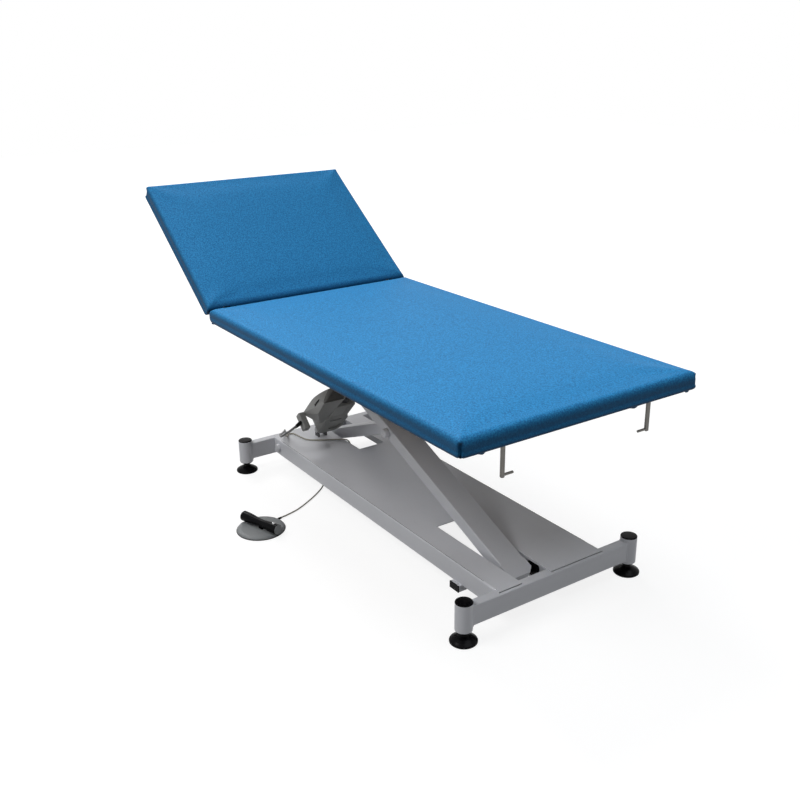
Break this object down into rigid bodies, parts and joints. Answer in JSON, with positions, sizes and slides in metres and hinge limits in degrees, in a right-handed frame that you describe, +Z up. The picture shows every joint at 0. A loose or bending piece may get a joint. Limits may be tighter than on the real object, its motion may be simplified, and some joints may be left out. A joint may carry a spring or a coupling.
{
  "type": "examination table",
  "caption": "Height-adjustable medical examination table with a crossed-arm lift, an electric drive, a rocker foot switch and a tilting padded head section.",
  "frame": {"origin": "on the floor, midway between the four levelling feet", "axes": "+X towards the foot end, +Y towards the far side (away from the foot switch), +Z up"},
  "size_m": [1.8989, 0.9369, 0.9712],
  "materials": {
    "frame_paint": "satin light grey powder coat",
    "black_plastic": "smooth black",
    "bright_steel": "zinc plated",
    "dull_steel": "dull zinc plated",
    "drive_shell": "fine grained grey",
    "cap_plastic": "dark brown grey",
    "black_rubber": "matte",
    "dark_paint": "satin black",
    "switch_grey": "satin grey",
    "cord_beige": "smooth beige sheath",
    "cord_grey": "smooth grey sheath",
    "plywood": "raw plywood",
    "blue_vinyl": "fine grained blue vinyl over foam"
  },
  "bodies": {
    "base": {"base_ends": "frame_paint", "post_caps": "black_plastic", "foot_bushes": "black_plastic", "tray": "frame_paint", "stiffener_tube": "frame_paint", "stiffener_plugs": "black_plastic", "roller_rails": "frame_paint", "axle_brackets": "frame_paint", "lower_axle": "frame_paint", "drive_bracket": "dark_paint", "drive_rear_pin": "bright_steel", "switch_base": "switch_grey", "switch_saddle": "black_plastic", "switch_gland": "black_rubber", "foot_switch_cord": "cord_beige", "mains_lead": "cord_grey", "mains_coil": "cord_grey", "mains_plug": "black_plastic"},
    "foot_1": {"foot_head_near": "black_plastic"},
    "foot_2": {"foot_head_far": "black_plastic"},
    "foot_3": {"foot_foot_near": "black_plastic"},
    "foot_4": {"foot_foot_far": "black_plastic"},
    "pedal": {"foot_pedal": "black_plastic", "pedal_end_caps": "switch_grey"},
    "arm_b": {"arm_b_tube": "frame_paint", "arm_b_lower_end": "frame_paint", "arm_b_upper_end": "frame_paint", "middle_pin": "bright_steel"},
    "upper_roller_set": {"upper_rollers": "black_plastic"},
    "arm_a": {"arm_a_tube": "frame_paint", "arm_a_lower_end": "frame_paint", "arm_a_upper_end": "frame_paint", "drive_lugs": "frame_paint"},
    "lower_roller_set": {"lower_rollers": "black_plastic"},
    "top": {"frame_rails": "frame_paint", "frame_crosses": "frame_paint", "frame_lugs": "frame_paint", "arm_tracks": "frame_paint", "frame_plugs": "black_plastic", "upper_axle": "bright_steel", "hinge_plates": "frame_paint", "main_board": "plywood", "main_pad": "blue_vinyl"},
    "backrest": {"backrest_frame": "frame_paint", "backrest_hinge_plates": "frame_paint", "spring_lever": "frame_paint", "backrest_board": "plywood", "backrest_pad": "blue_vinyl"},
    "gas_cylinder": {"spring_cylinder": "dark_paint"},
    "gas_rod": {"spring_rod": "bright_steel"},
    "drive": {"drive_housing": "drive_shell", "drive_motor_cover": "drive_shell", "drive_end_cap": "cap_plastic", "drive_cable_box": "drive_shell", "cable_relief": "black_rubber", "drive_guide_tube": "dark_paint"},
    "drive_rod": {"drive_push_rod": "bright_steel", "drive_front_pin": "bright_steel"},
    "roll_near": {"roll_arm_near": "dull_steel"},
    "roll_far": {"roll_arm_far": "dull_steel"}
  },
  "joints": [
    {"name": "foot_turn_1", "type": "hinge", "parent": "base", "child": "foot_1", "pos_m": [-0.6445, -0.3, 0], "axis": [0, 0, 1], "continuous": true},
    {"name": "foot_turn_2", "type": "hinge", "parent": "base", "child": "foot_2", "pos_m": [-0.6445, 0.3, 0], "axis": [0, 0, 1], "continuous": true},
    {"name": "foot_turn_3", "type": "hinge", "parent": "base", "child": "foot_3", "pos_m": [0.6445, -0.3, 0], "axis": [0, 0, 1], "continuous": true},
    {"name": "foot_turn_4", "type": "hinge", "parent": "base", "child": "foot_4", "pos_m": [0.6445, 0.3, 0], "axis": [0, 0, 1], "continuous": true},
    {"name": "pedal_rock", "type": "hinge", "parent": "base", "child": "pedal", "pos_m": [-0.208, -0.46, 0.0245], "axis": [-0.2924, 0.9563, 0], "range_deg": [-2.5, 2.5], "stiffness_Nm_per_rad": 6},
    {"name": "lift", "type": "hinge", "parent": "base", "child": "arm_b", "pos_m": [-0.595, 0, 0.08], "axis": [0, -1, 0], "range_deg": [-4.5, 11]},
    {"name": "arms_cross", "type": "hinge", "parent": "arm_b", "child": "arm_a", "pos_m": [-0.01319, 0, 0.31507], "axis": [0, -1, 0], "range_deg": [-22, 9]},
    {"name": "top_level", "type": "hinge", "parent": "arm_a", "child": "top", "pos_m": [-0.595, 0, 0.55013], "axis": [0, -1, 0], "range_deg": [-4.5, 11]},
    {"name": "upper_roller_turn", "type": "hinge", "parent": "arm_b", "child": "upper_roller_set", "pos_m": [0.56862, 0, 0.55013], "axis": [0, 1, 0], "continuous": true},
    {"name": "lower_roller_turn", "type": "hinge", "parent": "arm_a", "child": "lower_roller_set", "pos_m": [0.56862, 0, 0.08], "axis": [0, 1, 0], "continuous": true},
    {"name": "backrest_tilt", "type": "hinge", "parent": "top", "child": "backrest", "pos_m": [-0.641, 0, 0.60613], "axis": [0, 1, 0], "range_deg": [-35.4, 34.6]},
    {"name": "gas_cylinder_swing", "type": "hinge", "parent": "top", "child": "gas_cylinder", "pos_m": [-0.49681, 0.2, 0.56479], "axis": [0, 1, 0], "range_deg": [-17.7, 17.3]},
    {"name": "gas_rod_swing", "type": "hinge", "parent": "backrest", "child": "gas_rod", "pos_m": [-0.7452, 0.2, 0.49823], "axis": [0, 1, 0], "range_deg": [-17.3, 17.7]},
    {"name": "drive_tilt", "type": "hinge", "parent": "base", "child": "drive", "pos_m": [-0.545, 0, 0.134], "axis": [0, -1, 0], "range_deg": [-7.48, 18.27], "deforming": ["foot_switch_cord", "mains_lead"]},
    {"name": "drive_stroke", "type": "slide", "parent": "drive", "child": "drive_rod", "axis": [0.7013, 0, 0.7129], "range_m": [-0.0442, 0.1079]},
    {"name": "roll_swivel_near", "type": "hinge", "parent": "top", "child": "roll_near", "pos_m": [0.718, -0.248, 0.58113], "axis": [0, 0, 1], "range_deg": [-90, 90]},
    {"name": "roll_swivel_far", "type": "hinge", "parent": "top", "child": "roll_far", "pos_m": [0.718, 0.248, 0.58113], "axis": [0, 0, 1], "range_deg": [-90, 90]}
  ],
  "couplings": [
    {"joint": "arms_cross", "follows": "lift", "ratio": -2},
    {"joint": "top_level", "follows": "lift", "ratio": 1},
    {"joint": "drive_tilt", "follows": "lift", "ratio": 1.6603},
    {"joint": "drive_stroke", "follows": "lift", "m_per_rad": 0.5618},
    {"joint": "gas_cylinder_swing", "follows": "backrest_tilt", "ratio": 0.5},
    {"joint": "gas_rod_swing", "follows": "backrest_tilt", "ratio": -0.5}
  ]
}
